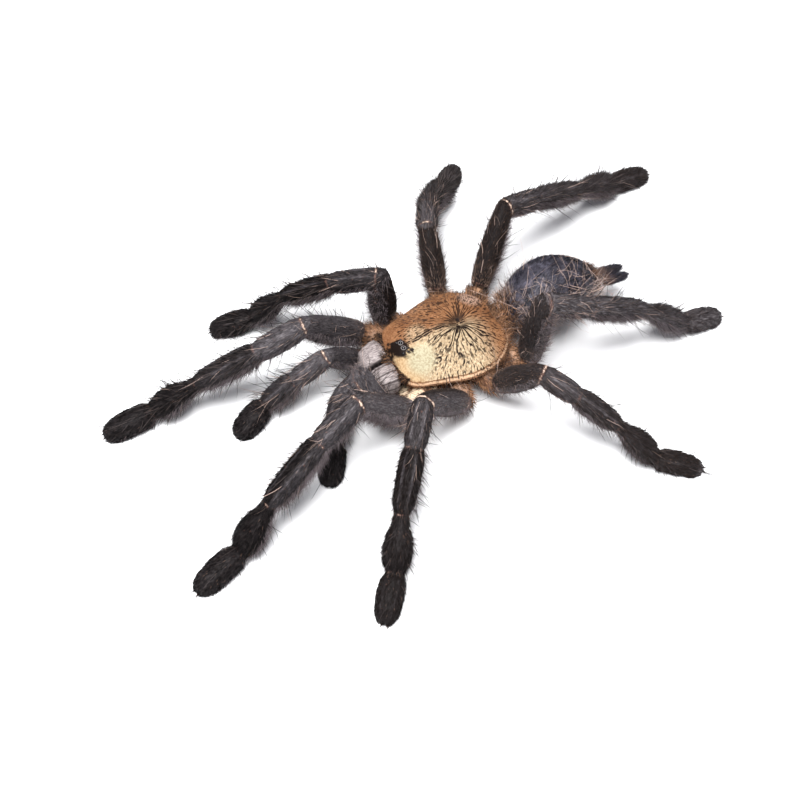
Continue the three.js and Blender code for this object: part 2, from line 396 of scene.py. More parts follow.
def makeGrainGroup():
    # fine lumps and pits for skin and horn
    tree, given, result = newGroup("fineGrain", {"Scale": "Float"}, "Height", "Float")
    place, scale = objectPlace(tree), given["Scale"]
    pits = newNode(tree, "TexVoronoi", named={"Vector": place, "Scale": scale})
    feed(result, noise(place, scale, 2.0, 0.5) + outOf(pits, "Distance"))
    return tree


furGroup = makeFurGroup()
grainGroup = makeGrainGroup()


def furMaterial(name, dark, grey, tan, patchScale=260.0):
    material, tree, surface = newMaterial(name)
    group = newNode(tree, "Group", dark, grey, tan, patchScale, node_tree=furGroup)
    paint(surface, outOf(group), 0.7, 0.04)
    feed(surface.inputs["Sheen Weight"], 0.005)
    feed(surface.inputs["Sheen Roughness"], 0.4)
    return material


def addGrain(surface, scale, depth):
    group = newNode(surface.id_data, "Group", scale, node_tree=grainGroup)
    return addBump(surface, outOf(group), 0.6, depth)


def skinMaterial(name, first, second, scale, rough=0.6, depth=0.04 * mm):
    material, tree, surface = newMaterial(name)
    patch = ramp(noise(objectPlace(tree), scale), 0.35, 0.68)
    paint(surface, mix(patch, first, second), rough)
    addGrain(surface, scale * 12, depth)
    return material


hornBlack = skinMaterial("fangHorn", (0.006, 0.004, 0.004), (0.03, 0.012, 0.008), 500.0,
                         rough=0.18, depth=0.01 * mm)
legFur = furMaterial("legFur", (0.0050, 0.0038, 0.0040), (0.113, 0.102, 0.114), (0.26, 0.17, 0.13))
bristleHair = furMaterial("bristleHair", (0.022, 0.017, 0.016), (0.26, 0.24, 0.25), (0.72, 0.52, 0.44))
bodyFur = furMaterial("bodyFur", (0.015, 0.010, 0.008), (0.18, 0.125, 0.10), (0.38, 0.195, 0.105))
abdomenFur = furMaterial("abdomenFur", (0.013, 0.012, 0.018), (0.165, 0.155, 0.200), (0.42, 0.23, 0.14),
                         patchScale=900.0)
jawFur = furMaterial("jawFur", (0.03, 0.022, 0.022), (0.33, 0.29, 0.28), (0.42, 0.23, 0.13))

limbSkinLook = {
    "streaks": (5.2, 5.2, 0.9),
    # dark and pale between the streaks, then on them
    "deep": ((0.006, 0.0045, 0.0045), (0.050, 0.044, 0.047)),
    "light": ((0.014, 0.011, 0.011), (0.128, 0.116, 0.122)),
    "reddish": (0.125, 0.066, 0.053),
    "cream": (0.62, 0.47, 0.37),
}


def limbSkinMaterial():
    # combed nap in fine streaks along the limb, reddish and then cream where a joint is stretched open
    look = limbSkinLook
    material, tree, surface = newMaterial("limbSkin")
    place, pale = objectPlace(tree), mark(tree, "pale")
    drawn = newNode(tree, "Mapping", mark(tree, "comb", "Vector"), named={"Scale": look["streaks"]})
    streak = noise(outOf(drawn), 1.0, 2.0)
    patch = ramp(noise(place, 500.0), 0.35, 0.68)
    colour = mix(ramp(streak, 0.42, 0.64), mix(pale, *look["deep"]), mix(pale, *look["light"]))
    stretch = mark(tree, "joint") + (noise(place, 1300.0) - 0.60) * 2.4
    colour = mix(ramp(stretch, 0.10, 0.4) * 0.6, colour, look["reddish"])
    colour = mix(ramp(stretch, 0.46, 0.80), colour, look["cream"])
    paint(surface, colour, 0.6, 0.08)
    addBump(surface, streak + patch * 0.3, 0.8, 0.07 * mm)
    return material


limbSkinStuff = limbSkinMaterial()
print("materials ready")


# limbs

class Segment:
    # one limb segment's own axes, from its joints
    def __init__(self, start, end):
        self.start, self.end = start, end
        self.length = np.linalg.norm(end - start)
        self.axis = (end - start) / self.length
        self.across = unit(np.cross([0, 0, 1], self.axis))
        self.top = np.cross(self.axis, self.across)

    def gapTo(self, points):
        run = np.clip(((points - self.start) @ self.axis) / self.length, 0, 1) * self.length
        return np.linalg.norm(points - self.start - np.outer(run, self.axis), axis=1)


endPoints = 10  # how many of a node's points make one end of it


def endTowards(node, other):
    # middle of the ring of points where a node faces its neighbour
    own, theirs = nodePoints(node), nodePoints(other)
    gaps = np.linalg.norm(own[:, None] - theirs[None], axis=2).min(1)
    return own[np.argsort(gaps)[:endPoints]].mean(0)


def limbSegments(limb):
    parts = palpParts if limb.startswith("palp") else legParts
    nodes = [f"{limb}_{part}" for part in parts]
    joints = [(endTowards(a, b) + endTowards(b, a)) / 2 for a, b in zip(nodes, nodes[1:])]
    hip = endTowards(nodes[0], "sternum_and_coxae")
    foot = nodePoints(nodes[-1])
    reach = (foot - joints[-1]) @ unit(foot.mean(0) - joints[-1])
    points = [hip, *joints, foot[np.argsort(reach)[-endPoints:]].mean(0)]
    return {part: Segment(a, b) for part, a, b in zip(parts, points, points[1:])}


limbSkin = {"voxel": 0.3 * mm, "rounds": 8, "inset": 0.13 * mm, "knee": 1.04, "joint": 0.96}


def buildLimbSkin(limb, segments):
    # one unbroken skin over all the segments, drawn in a little at each joint
    nodes = [f"{limb}_{part}" for part in segments]
    copies = [copyOfNode(node, f"skin_{limb}") for node in nodes]
    for node, segment in zip(nodes[:-1], segments.values()):
        gaps = np.linalg.norm(nodePoints(node) - segment.end, axis=1)
        fullness = limbSkin["knee" if node == nodes[0] else "joint"]
        bpy.ops.object.select_all(action="DESELECT")
        bpy.ops.mesh.primitive_uv_sphere_add(segments=20, ring_count=12, location=segment.end,
                                             radius=np.sort(gaps)[:endPoints].mean() * fullness)
        copies.append(bpy.context.active_object)
    skin = joinPieces(copies, f"skin_{limb}")
    applyModifier(skin, "REMESH", mode="VOXEL", voxel_size=limbSkin["voxel"])
    applyModifier(skin, "SMOOTH", factor=0.5, iterations=limbSkin["rounds"])
    applyModifier(skin, "DISPLACE", strength=-limbSkin["inset"], mid_level=0)
    smoothShade(skin)
    spot = placeOnLimb(segments, vertexPoints(skin), vertexNormals(skin))
    setMark(skin.data, "joint", spot["joint"])
    setMark(skin.data, "comb", spot["comb"])
    setMark(skin.data, "pale", paleness(limb, spot)[0])
    return dress(skin, limbSkinStuff, "fur", *nodes)


# reach and base in mm, the rest for each joint from the knee down
jointBands = {"halfWidth": (0.36, 0.26, 0.24, 0.20), "strength": (0.95, 0.5, 0.5, 0.4), "reach": 5,
              "base": 0.62, "baseAt": 1.1, "baseWidth": 0.7}


def near(points, centre):
    return np.linalg.norm(points - centre, axis=1) < jointBands["reach"] * mm


def jointMark(points, segment, beyond, number):
    # 1 on the middle of a joint's ring, 0 beyond its band, and paler towards the top
    reach = points - segment.end
    facing = unit(segment.axis * 0.3 + beyond.axis)
    across = np.abs(reach @ facing) / (jointBands["halfWidth"][number] * mm)
    upward = np.clip(0.75 + reach @ segment.top / (4 * mm), 0.35, 1)
    return np.clip(1.25 - across, 0, 1) * jointBands["strength"][number] * near(points, segment.end) * upward


def placeOnLimb(segments, roots, normals):
    # each root's own segment, its axes there, and its angle round the segment, 0 on top
    chain = list(segments.values())
    own = np.argmin([segment.gapTo(roots) for segment in chain], 0)
    axis, side, top, length, start = (np.array([getattr(segment, key) for segment in chain])[own]
                                      for key in ("axis", "across", "top", "length", "start"))
    reach = roots - start
    run, above = (reach * axis).sum(1), (normals * top).sum(1)
    comb = np.stack([(reach * top).sum(1), (reach * side).sum(1), run + own * 0.03], 1) / mm
    joint = np.zeros(len(roots))
    for number, (segment, beyond) in enumerate(zip(chain, chain[1:])):
        joint = np.maximum(joint, jointMark(roots, segment, beyond, number))
    hip = chain[0]
    base = np.abs((roots - hip.start) @ hip.axis - jointBands["baseAt"] * mm) / (jointBands["baseWidth"] * mm)
    base = np.clip(1.2 - base, 0, 1) * jointBands["base"] * near(roots, hip.start)
    part = np.array([legParts.index(part) for part in segments])[own]
    return {"roots": roots, "normals": normals, "own": own, "part": part,
            "axis": axis, "length": length, "run": run, "above": above, "comb": comb,
            "angle": np.arctan2((normals * side).sum(1), above), "joint": np.maximum(joint, base)}


def perPart(spot, values):
    return np.array(values, float)[spot["part"]]


def onPart(spot, part):
    return spot["part"] == legParts.index(part)


clumpTable = dice.random((4096, 4))


def clumps(first, second):
    # four random numbers shared by the roots of one small patch
    key = np.floor(first).astype(int) * 7919 + np.floor(second).astype(int) * 104729
    return clumpTable[key % len(clumpTable)]


def keepRows(spot, keep):
    return {key: value[keep] for key, value in spot.items()}


def sow(skin, segments, count):
    return placeOnLimb(segments, *scatter(skin, count))


def sowKind(limb, segments, skin, spec):
    # roots for one kind of hair, as many on each segment as its settings ask for
    most = max(spec["dense"])
    spot = sow(skin, segments, squareMm(skin) * most * spec["more"].get(limb, 1))
    low, high = spec["above"]
    chosen = dice.random(len(spot["own"])) < perPart(spot, spec["dense"]) / most
    return keepRows(spot, chosen & (spot["above"] > low) & (spot["above"] < high))


def combed(spot, lift, spread, sideways=0.0):
    # hair lies along the limb towards its tip, lifted off the skin by degrees
    axes, normals = spot["axis"], spot["normals"]
    flat = unit(axes - normals * (normals * axes).sum(1, keepdims=True))
    flat = unit(flat + np.cross(normals, flat) * np.asarray(sideways).reshape(-1, 1))
    lift = np.radians(np.clip(lift, 3, 85))[:, None]
    ways = flat * np.cos(lift) + normals * np.sin(lift)
    return unit(ways + dice.normal(0, spread, normals.shape))


# five values in a row are for the femur, patella, tibia, metatarsus and tarsus
limbPile = {
    "perSquareMm": 16,
    "width": 0.10 * mm,
    "length": (0.42, 0.60, 0.78, 0.95, 0.65),
    "lift": (9, 13, 17, 24, 24),
    # longer and browner hair on the rear legs
    "fluff": {"leg_3_right": 1.7, "leg_4_right": 1.6, "leg_3_left": 1.1, "leg_4_left": 1.25},
    "tarsusFluff": 0.2,
    "brown": {"leg_3_right": 0.09, "leg_4_right": 0.09, "leg_3_left": 0.09, "leg_4_left": 0.08,
              "leg_2_left": 0.03},
    "thighBrown": {"leg_1_left": 0.08, "leg_2_left": 0.07, "leg_3_left": 0.08},
}
limbGrey = {
    # greyer on top than on the sides: partly the nap's own grey, partly painted sheen
    "top": (0.36, 0.64, 0.26, 0.12, 0.04),
    "side": (0.30, 0.50, 0.18, 0.08, 0.03),
    "low": (0.50, 0.55, 0.55, 0.2, 0.04),
    "lines": (0.0, 0.75, 0.7, 0.0, 0.12),
    "lineAngle": (0.42, 0.08),
    # more or less grey for one limb; the femur of leg_2_right darker as painted shadow
    "more": {"leg_1_left": (0.06, -0.22, -0.44, -0.08, 0.0),
             "leg_1_right": (0.05, 0.12, -0.15, -0.05, 0.0),
             "leg_2_left": (-0.30, -0.30, -0.30, -0.05, -0.04),
             # painted shadow: the femur of leg_2_right made darker
             "leg_2_right": (-0.34, -0.36, -0.28, -0.05, 0.0),
             "leg_3_left": (-0.24, -0.10, 0.0, 0.05, 0.0),
             "leg_3_right": (-0.38, 0.05, 0.25, 0.40, 0.20),
             "leg_4_left": (-0.22, 0.50, 1.15, 0.75, 0.55),
             "leg_4_right": (-0.34, 0.15, 0.40, 0.45, 0.10),
             "palp_left": (0.30, 0.30, 0.10, 0.0), "palp_right": (0.10, 0.30, 0.15, 0.0)},
    # paler towards one side: painted sheen on the flank of the femora, pale fringe hair on the patellae and
    # tibiae
    "flank": {"leg_1_left": (0.35, 0.15, 0.6, 0.0, 0.0), "leg_1_right": (0.0, 0.1, 0.25, 0.0, 0.0),
              "leg_2_left": (0.55, 0.0, 0.0, 0.0, 0.0)},
    "toe": {"leg_3_left": 0.9, "leg_4_left": 0.8, "leg_4_right": 0.6},
}


def paleness(limb, spot):
    # how grey the nap is at each root, greyer on top partly as painted sheen, and how strongly it lies on one
    # of the two pale lines on top
    top, side, low, lines = (perPart(spot, limbGrey[key]) for key in ("top", "side", "low", "lines"))
    more, flank = (np.array(limbGrey[key].get(limb, (0,) * 5))[spot["own"]] for key in ("more", "flank"))
    # greyer towards the top: partly own colour, partly painted sheen
    grey = np.where(spot["above"] > 0, side, low)
    grey = grey + (top - grey) * np.clip(spot["above"], 0, 1)
    lineAt, lineWidth = limbGrey["lineAngle"]
    lines = np.exp(-((np.abs(spot["angle"]) - lineAt) / lineWidth) ** 2) * lines
    share = spot["run"] / spot["length"]
    lines = lines * np.clip(np.minimum(share, 1 - share) * 6, 0, 1)
    # paler on one side: painted sheen on the femora, pale fringe hair on the patellae and tibiae
    flank = flank * np.clip(np.sin(spot["angle"]) * 1.3, 0, 1)
    toe = np.clip(share * 9 - 7.6, 0, 1) * onPart(spot, "tarsus") * limbGrey["toe"].get(limb, 0)
    return np.clip(grey + lines + more + flank + toe, 0, 1), lines


def growPile(limb, segments, skin):
    spec = limbPile
    spot = sow(skin, segments, squareMm(skin) * spec["perSquareMm"])
    bald = np.clip(spot["joint"] * 1.3 - 0.2, 0, 0.95)
    spot = keepRows(spot, dice.random(len(bald)) > bald)
    count = len(spot["own"])
    patch = clumps(spot["run"] / (1.5 * mm) + np.sin(spot["angle"] * 7),
                   spot["angle"] * 6.5 + spot["own"] * 40)
    fluff = 1 + (spec["fluff"].get(limb, 1.0) - 1) * np.where(onPart(spot, "tarsus"), spec["tarsusFluff"], 1)
    lift = perPart(spot, spec["lift"]) * fluff + (patch[:, 1] - 0.5) * 8 + dice.normal(0, 5, count)
    ways = combed(spot, lift, 0.06, (patch[:, 3] - 0.5) * 0.2)
    length = perPart(spot, spec["length"]) * mm * fluff * dice.uniform(0.6, 1.2, count)
    grey, lines = paleness(limb, spot)
    grey = np.clip(grey + (patch[:, 0] - 0.5) * 0.2, 0, 1)
    tone = 0.3 + 0.15 * patch[:, 0] + 0.35 * dice.random(count) + lines * 0.2
    thigh = onPart(spot, "femur")
    base = np.clip(1 - spot["run"] / (0.4 * spot["length"]), 0, 1) * thigh
    stray = dice.random(count) < 0.02 + 0.25 * (spot["joint"] > 0.05)
    tan = stray * 0.5 + base * dice.uniform(0, 0.8, count)
    tan = np.clip(tan + spec["brown"].get(limb, 0) + spec["thighBrown"].get(limb, 0) * thigh, 0, 1)
    width = spec["width"] * dice.uniform(0.7, 1.3, count)
    locks = [lock(spot["roots"], ways, length, width, tone=tone, grey=grey, tan=tan)]
    locks.append(growFringe(limb, segments, skin))
    return growHairs(f"fur_{limb}", locks, legFur, "fur")


# hairs to a square mm, length and width in mm, lift in degrees, and which side of the limb, 1 on top
limbFringe = {"dense": (5.0, 3.0, 12.0, 6.0, 0.5), "length": (1.3, 2.9), "width": 0.06, "lift": 46,
              "above": (-1.1, 0.1),
              "more": {"leg_1_left": 3.0, "leg_1_right": 1.6, "leg_2_right": 1.5, "leg_3_right": 2.5,
                       "leg_4_left": 2.0, "leg_4_right": 3.0}}
limbBristles = {
    "setae": {"dense": (0.25, 0.35, 0.85, 0.9, 0.25), "length": (2.4, 6.2), "width": 0.12, "lift": 56,
              "above": (-0.4, 1.1), "grey": 0.08, "tan": 0.02,
              "more": {"leg_1_left": 0.45, "leg_1_right": 1.2, "leg_2_left": 0.5, "leg_2_right": 1.4,
                       "leg_3_left": 0.6, "leg_4_left": 0.7}},
    "lying": {"dense": (0.03, 0.24, 0.07, 0.01, 0.0), "length": (2.2, 5.0), "width": 0.058, "lift": 12,
              "above": (-0.7, 1.1), "grey": 0.3, "tan": 0.6,
              "more": {"leg_1_left": 0.5, "leg_1_right": 0.7, "leg_2_left": 0.6, "leg_2_right": 0.7}},
    "curls": {"dense": (0.045, 0.10, 0.035, 0.01, 0.0), "length": (2.4, 5.4), "width": 0.068, "lift": 32,
              "above": (-1.1, 1.1), "grey": 0.2, "tan": 0.8,
              "more": {"leg_2_right": 0.6, "leg_3_right": 3.4, "leg_4_left": 3.2, "leg_4_right": 1.5,
                       "palp_left": 2.5, "palp_right": 2.5}},
}


def growFringe(limb, segments, skin):
    spec = limbFringe
    spot = sowKind(limb, segments, skin, spec)
    count = len(spot["own"])
    length = lengths(spec, count) * dice.uniform(0.45, 1, count)
    ways = combed(spot, spec["lift"] + dice.normal(0, 11, count), 0.1)
    tone = dice.uniform(0.7, 1, count)
    return lock(spot["roots"], ways, length, spec["width"] * mm, tone=tone, grey=1.0, tan=0.12)


def growBristles(limb, segments, skin):
    locks = []
    for kind, spec in limbBristles.items():
        spot = sowKind(limb, segments, skin, spec)
        count = len(spot["own"])
        length = lengths(spec, count) * dice.uniform(0.6, 1, count)
        ways = combed(spot, spec["lift"] + dice.normal(0, 12, count), 0.14)
        bend = spot["axis"] * dice.uniform(0.0, 0.3, (count, 1)) + dice.normal(0, 0.08, (count, 3))
        if kind == "curls":
            bend = bend + dice.normal(0, 0.4, (count, 3))
        tan = np.clip(spec["tan"] * dice.uniform(0.6, 1.2, count), 0, 1)
        locks.append(lock(spot["roots"], ways, length, spec["width"] * mm, bend, grey=spec["grey"], tan=tan))
    return growHairs(f"bristles_{limb}", locks, bristleHair, "fur", steps=3)


def buildLimb(limb):
    segments = limbSegments(limb)
    skin = buildLimbSkin(limb, segments)
    growPile(limb, segments, skin)
    growBristles(limb, segments, skin)
    return segments


limbs = {limb: buildLimb(limb) for limb in limbNames}
print("limbs ready")


# shield

shieldLow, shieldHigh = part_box("carapace")
shieldMid = (shieldLow + shieldHigh) / 2
shield = {
    "pit": (shieldMid.x, shieldLow.y + 14.2 * mm),
    "mound": (shieldMid.x, shieldLow.y + 2.6 * mm),
    # cream: colour of the near half, partly its own, partly painted sheen
    "cream": (0.495, 0.388, 0.255),
    # painted highlight: the pale tint of the glare at the near front
    "glareTint": (0.345, 0.325, 0.228),
    "amber": (0.37, 0.235, 0.115),
    "gold": (0.325, 0.160, 0.078),
    "brown": (0.215, 0.098, 0.047),
    "pale": (0.60, 0.43, 0.35),
    "flesh": (0.54, 0.340, 0.215),
    "dark": (0.010, 0.006, 0.005),
    "speck": (0.12, 0.050, 0.022),
    "grain": ((0.74, 0.68, 0.62), (1.0, 1.0, 1.0)),
    # lines that point at the pit: how many, half width, shortest, longest and seed, in mm
    "nearSpokes": (29, 0.215, 3.8, 10.2, 3.0),
    "farSpokes": (34, 0.19, 3.0, 7.6, 11.0),
    # dashes: fineness around and outward, seed, extra on the far side, then where they show and end
    "dashes": [(17.0, 0.9, 7.0, 0.02, (0.565, 0.61), (8.2, 7.0), (3.0, 4.0)),
               (33.0, 1.3, 31.0, 0.03, (0.57, 0.62), (12.8, 11.0), (5.2, 6.6))],
    # round spots: sideways and back from the pit, where they begin and are full, in mm; the first marks the
    # painted highlight at the near front, where the marks are left out
    "glareSpot": (3.4, -10.6, 4.4, 2.6),
    "holes": [(-0.7, 0.3, 0.75, 0.3), (0.85, -0.3, 0.8, 0.3)],
    # tinted spots: the first is a painted highlight at the near front
    "tints": [((3.9, -9.6, 3.8, 1.6), 0.85, "glareTint"), ((-1.3, -8.2, 2.8, 0.8), 0.6, "cream"),
              ((-5.2, 5.4, 3.0, 1.2), 0.6, "pale")],
    "rimLines": (0.22, 0.74),
    # the lip: its height, its reach sideways by side and its drop, in mm
    "lip": {"top": 1.45, "height": 0.9, "reach": 0.3, "leftward": 0.3, "drop": 0.25},
}


def shieldMaterial():
    material, tree, surface = newMaterial("shieldHorn")
    place = objectPlace(tree)
    x, y = ((part - start) / mm for part, start in zip(axesOf(place), shield["pit"]))
    far, angle = distance(x, y), maths("ARCTAN2", x, y)

    def polar(around, outward, seed, detail):
        # noise drawn out along lines that point at the pit
        return noise(placeAt(angle * around, far * outward, seed), 1.0, detail, 0.5)

    def spot(centreX, centreY, reach, full):
        return ramp(distance(x - centreX, y - centreY), reach, full)

    def spokes(count, halfWidth, shortest, longest, seed):
        # thin dark lines that point at the pit, unevenly spaced, each as long as it happens to be
        uneven = noise(placeAt(angle * (count / 9), far * 0.16 + seed), 1.0, 2.0, 0.5, noise_dimensions="2D")
        turn = angle * (count / (2 * math.pi)) + uneven * 2.6
        gap = abs(maths("FRACT", turn) - 0.5) * far * (2 * math.pi / count)
        own = newNode(tree, "TexWhiteNoise", noise_dimensions="1D", named={"W": maths("FLOOR", turn) + seed})
        left = outOf(own, "Value") * (longest - shortest) + shortest - far
        slim = ramp(left, 0.0, 3.0, False) * (halfWidth * 0.55) + halfWidth * 0.45
        return ramp(gap / slim, 1.0, 0.5) * ramp(left, 0.0, 0.5) * ramp(far, 0.15, 0.6)

    # the marks are left out where the painted highlight lies at the near front
    bare = 1.0 - spot(*shield["glareSpot"])
    nearSide, farSide = ramp(x, -0.6, 1.4), ramp(x, 1.0, -1.0)
    beads = ramp(polar(11.0, 0.9, 2.0, 1.0) + ramp(far, 6.0, 3.6), 0.42, 0.50)
    nearLines = spokes(*shield["nearSpokes"]) * beads * nearSide * bare
    farLines = spokes(*shield["farSpokes"]) * farSide
    dashes = []
    for around, outward, seed, extra, shown, outer, inner in shield["dashes"]:
        drawn = ramp(polar(around, outward, seed, 0.5) + farSide * extra, *shown)
        dashes.append(drawn * ramp(far, *outer) * ramp(far, *inner))
    specks = ramp(polar(50.0, 2.6, 21.0, 1.0), 0.46, 0.60) * bare
    wobble = (noise(place, 900.0) - 0.5) * 1.1
    # a double seam down the middle, broken here and there
    seam = ramp(abs(abs(x + wobble * 0.6) - 0.22), 0.21, 0.09) * ramp(noise(place, 1100.0, 1.0), 0.33, 0.44)
    seam = seam * ramp(abs(y + 4.6), 6.6, 5.8)
    hole = highest(*[spot(*where) for where in shield["holes"]])
    # black patch round the eyes, ragged and drawn out to the rear
    ragged = wobble * 3.4
    moundY = y + ragged - ((shield["mound"][1] - shield["pit"][1]) * 1000 - 0.45)
    moundX = (x + 0.2 + ragged - moundY * 0.45) / 2.15
    moundY = highest(moundY / 1.6, moundY / -2.0)
    mound = ramp(moundX * moundX + moundY * moundY, 1.35, 0.75)
    marks = highest(nearLines, farLines * 0.9, highest(*dashes) * bare * 0.85, seam, hole, mound)

    blotch = noise(place, 260.0)
    shift = (blotch - 0.5) * 3.4
    colour = mix(ramp(blotch, 0.3, 0.7), shield["brown"], shield["gold"])
    # lighter cream over the near half: partly the shield's own colour, partly painted sheen
    colour = mix(ramp(x + shift, -1.4, 1.6) * ramp(y, 6.5, 0.0), colour, shield["cream"])
    colour = mix(ramp(y + shift, -9.6, -11.4) * nearSide * 0.65, colour, shield["amber"])
    # tinted spots, the first a painted highlight
    for where, share, tint in shield["tints"]:
        colour = mix(spot(*where) * share, colour, shield[tint])
    colour = mix(specks * 0.36, colour, shield["speck"])
    grain = mix(ramp(noise(place, 2600.0, 2.0), 0.36, 0.62), *shield["grain"])
    colour = mix(1.0, colour, grain, "MULTIPLY")
    edge = mark(tree, "edge")
    colour = mix(ramp(edge, 0.0, 0.55) * 0.8, colour, shield["flesh"])
    rimLine = highest(*[ramp(abs(edge + wobble * 0.4 - level), 0.13, 0.03) for level in shield["rimLines"]])
    colour = mix(rimLine * ramp(edge, 0.0, 0.12) * 0.85, colour, shield["speck"])
    paint(surface, mix(marks, colour, shield["dark"]), ramp(marks, 3.6, -1.6, False), 0.07)
    bump = addGrain(surface, 5200.0, 0.06 * mm)
    sunk = addBump(surface, highest(marks, specks * 0.5), 0.7, 0.16 * mm, Normal=outOf(bump))
    sunk.invert = True
    return material


def buildShield():
    piece = copyOfNode("carapace", "shield")
    applyModifier(piece, "SUBSURF", levels=2, render_levels=2)
    smoothShade(piece)
    lip = shield["lip"]
    points = vertexPoints(piece)
    edge = np.clip((shieldLow.z + lip["top"] * mm - points[:, 2]) / (lip["height"] * mm), 0, 1)
    setMark(piece.data, "edge", edge)
    # the rim is drawn out and down into a thin lip, wider on the own left side
    away = points - np.array([shieldMid.x, shieldMid.y, 0])
    away[:, 2] = 0
    reach = (lip["reach"] + lip["leftward"] * np.clip(away[:, 0] / (6 * mm), -1, 1)) * mm
    drop = np.array([0, 0, lip["drop"] * mm])
    points = points + unit(away) * (reach * edge)[:, None] - drop * edge[:, None]
    piece.data.vertices.foreach_set("co", points.reshape(-1))
    piece.data.update()
    return dress(piece, shieldMaterial(), "shield", "carapace")


shieldPiece = buildShield()
print("shield ready")


# abdomen, underside, jaws, fangs, spinnerets

jawLow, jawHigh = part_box("chelicera_left")
coxaLook = {"dark": (0.085, 0.040, 0.025), "tan": (0.32, 0.180, 0.108), "bare": (0.62, 0.475, 0.33),
            "crease": (0.028, 0.014, 0.010)}
# the cleft colour is painted shade between the two jaws
jawLook = {"pale": (0.32, 0.275, 0.268), "streak": (0.085, 0.066, 0.067), "stripe": (0.035, 0.024, 0.024),
           "cleft": (0.008, 0.006, 0.006), "stripes": 1.75, "stripeTurn": 10.35}
# bare skin at the hips: x, y, z and reach in mm
bareSkin = [(9.6, -10.2, 9.3, 2.0), (6.1, -10.3, 6.5, 1.5), (9.7, -5.0, 8.5, 1.4)]


def coxaMaterial():
    # tan skin with dark creases, and pale bare membranes where the hips of the front legs part
    material, tree, surface = newMaterial("coxaSkin")
    place = objectPlace(tree)
    colour = mix(ramp(noise(place, 420.0), 0.35, 0.68), coxaLook["dark"], coxaLook["tan"])
    colour = mix(ramp(mark(tree, "bare"), 0.25, 0.6), colour, coxaLook["bare"])
    colour = mix(ramp(abs(noise(place, 620.0, 1.0) - 0.5), 0.03, 0.008), colour, coxaLook["crease"])
    paint(surface, colour, 0.5, 0.25)
    addGrain(surface, 4600.0, 0.04 * mm)
    return material


def jawMaterial():
    # pale jaws: bare stripes along them, fine combed streaks, and painted shade: a black band in the cleft
    # between the two
    material, tree, surface = newMaterial("jawSkin")
    middle = (shieldMid.x, jawLow.y, (jawLow.z + jawHigh.z) / 2)
    x, y, z = ((part - start) / mm for part, start in zip(axesOf(objectPlace(tree)), middle))
    aside = abs(x) - ((jawLow.x + jawHigh.x) / 2 - shieldMid.x) * 1000
    angle = maths("ARCTAN2", aside, z)
    band = maths("FRACT", angle * jawLook["stripes"] + jawLook["stripeTurn"])
    stripe = ramp(abs(band - 0.5), 0.13, 0.04) * ramp(x, -1.5, 0.5)
    streak = ramp(noise(placeAt(angle * 22.0, y * 0.9), 1.0, 2.0), 0.42, 0.66)
    colour = mix(streak, jawLook["pale"], jawLook["streak"])
    colour = mix(stripe * 0.92, colour, jawLook["stripe"])
    # painted shade: near black along the cleft where the two jaws meet
    colour = mix(ramp(abs(x), 0.75, 0.35), colour, jawLook["cleft"])
    paint(surface, colour, 0.45, 0.2)
    addGrain(surface, 5200.0, 0.04 * mm)
    return material


def smoothCopy(node, name, material, slot):
    piece = copyOfNode(node, name)
    applyModifier(piece, "SUBSURF", levels=2, render_levels=2)
    smoothShade(piece)
    return dress(piece, material, slot, node)


def blockyCopy(node, name, material, slot, voxel, square=0.0):
    # a closed copy with its own form kept, only its facets and edges worn round
    piece = copyOfNode(node, name)
    applyModifier(piece, "REMESH", mode="VOXEL", voxel_size=voxel)
    applyModifier(piece, "SMOOTH", factor=0.5, iterations=5)
    if square:
        bpy.ops.object.origin_set(type="ORIGIN_GEOMETRY", center="BOUNDS")
        applyModifier(piece, "CAST", cast_type="CUBOID", factor=square)
        bpy.ops.object.transform_apply(location=True, rotation=False, scale=False)
    smoothShade(piece)
    return dress(piece, material, slot, node)


def bareness(points):
    gaps = [np.linalg.norm(points / mm - np.array(centre), axis=1) / reach for *centre, reach in bareSkin]
    return np.clip(1.4 - np.min(gaps, 0), 0, 1)


coxaSkin = coxaMaterial()
velvetSkin = skinMaterial("abdomenSkin", (0.014, 0.013, 0.019), (0.060, 0.056, 0.078), 700.0)
spinnerSkin = skinMaterial("spinnerSkin", (0.016, 0.010, 0.008), (0.050, 0.028, 0.020), 700.0)
jawSkin = jawMaterial()
belly = smoothCopy("abdomen", "belly", velvetSkin, "velvet")
jaws = [blockyCopy(f"chelicera_{side}", f"jaw_{side}", jawSkin, "jaw", 0.22 * mm, 0.28) for side in bothSides]
underside = blockyCopy("sternum_and_coxae", "coxae", coxaSkin, "underside", 0.3 * mm)
setMark(underside.data, "bare", bareness(vertexPoints(underside)))
for side in bothSides:
    smoothCopy(f"fang_{side}", f"fangTip_{side}", hornBlack, "horn")
spinnerets = [smoothCopy(f"spinneret_{side}", f"spinner_{side}", spinnerSkin, "fur") for side in bothSides]
print("body ready")


# body hair, with lengths and widths in mm and lifts in degrees

def laid(spec, roots, normals, lean=None):
    # what a lock starts with, for hair that leans one way over the skin
    lean = np.broadcast_to(np.asarray(spec["lean"] if lean is None else lean, float), normals.shape)
    flat = unit(lean - normals * (normals * lean).sum(1, keepdims=True))
    lift = np.radians(spec["lift"])
    loose = dice.normal(0, spec["spread"], normals.shape)
    ways = unit(flat * math.cos(lift) + normals * math.sin(lift) + loose)
    length = lengths(spec, len(roots))
    bend = dice.normal(0, spec["bend"], roots.shape) if "bend" in spec else (0, 0, 0)
    return roots, ways, length, spec["width"] * mm, bend


def outwardFrom(points):
    # level ways from the shield's middle
    outward = points - np.array([shieldMid.x, shieldMid.y, 0])
    outward[:, 2] = 0
    return outward


def pick(keep, *rows):
    return [row[keep] for row in rows]


